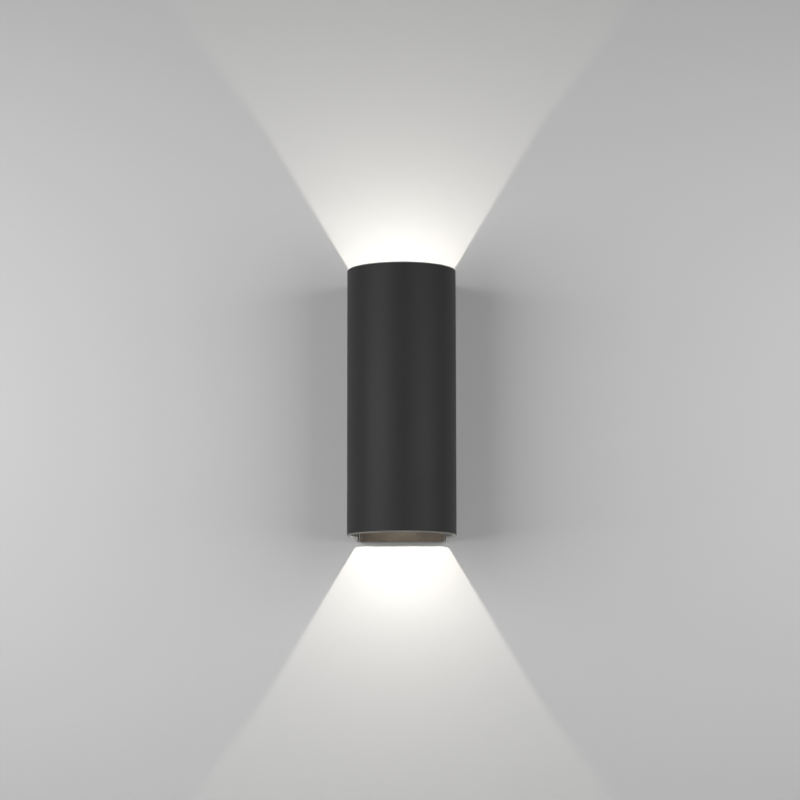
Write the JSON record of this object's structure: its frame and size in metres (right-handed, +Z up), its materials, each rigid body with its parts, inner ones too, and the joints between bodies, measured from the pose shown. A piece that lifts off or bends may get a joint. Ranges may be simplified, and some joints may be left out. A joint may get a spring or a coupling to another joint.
{
  "type": "tube wall light",
  "caption": "Up-and-down wall light: an upright round-fronted tube, open at both ends, held off the wall by a bracket plate between its rear lips.",
  "frame": {"origin": "on the wall plane, at the back of the wall gasket, behind the middle of the tube", "axes": "+X right, +Y into the wall, +Z up along the tube; the front faces -Y"},
  "size_m": [0.104, 0.132, 0.255],
  "materials": {
    "textured_black": "fine textured matte powder coat",
    "foam": "closed-cell foam",
    "black_rubber": "matte rubber",
    "brass": "plain brass",
    "stainless": "stainless steel",
    "black_steel": "black oxide screw",
    "cast_black": "cast aluminium, matte black",
    "board_white": "white solder mask on aluminium",
    "emitter": "phosphor field on a white ceramic base, emissive",
    "white_plastic": "white moulded plastic",
    "silicone": "translucent silicone",
    "clear_glass": "clear toughened glass",
    "galvanised": "galvanised sheet",
    "driver_case": "white moulded case",
    "block_plastic": "off-white polyamide",
    "gland_plastic": "black polyamide",
    "wire_insulation": "wire insulation",
    "supply_insulation": "wire insulation",
    "cover_black": "cast aluminium cover, matte black"
  },
  "bodies": {
    "wall_side": {"wall_bracket": "textured_black", "wall_gasket": "foam", "cable_grommet": "black_rubber", "bracket_earth_screw": "brass"},
    "lamp_head": {"tube_body": "textured_black", "bulkhead_screws": "black_steel", "grub_screws": "black_steel", "upper_bulkhead": "cast_black", "lower_bulkhead": "cast_black", "led_board_upper": "board_white", "led_board_lower": "board_white", "led_emitter_upper": "emitter", "led_emitter_lower": "emitter", "led_connector_upper": "white_plastic", "led_connector_lower": "white_plastic", "led_board_screws": "stainless", "glass_seal_upper": "silicone", "glass_seal_lower": "silicone", "glass_upper": "clear_glass", "glass_lower": "clear_glass", "bezel_ring_upper": "cast_black", "bezel_ring_lower": "cast_black", "bezel_screws": "stainless", "chassis": "galvanised", "chassis_screws": "stainless", "driver": "driver_case", "driver_screws": "stainless", "terminal_block": "block_plastic", "terminal_screws": "brass", "terminal_block_screws": "stainless", "rear_cover": "cover_black", "rear_cover_gasket": "black_rubber", "rear_cover_screws": "stainless", "gland_body": "gland_plastic", "gland_locknut": "gland_plastic", "gland_seal": "black_rubber", "gland_nut": "gland_plastic", "led_leads_upper": "wire_insulation", "led_leads_lower": "wire_insulation", "supply_leads": "supply_insulation", "lead_grommets": "black_rubber"}
  },
  "joints": [
    {"name": "head_slide", "type": "slide", "parent": "wall_side", "child": "lamp_head", "axis": [0, -1, 0], "range_m": [0, 0.04]}
  ]
}
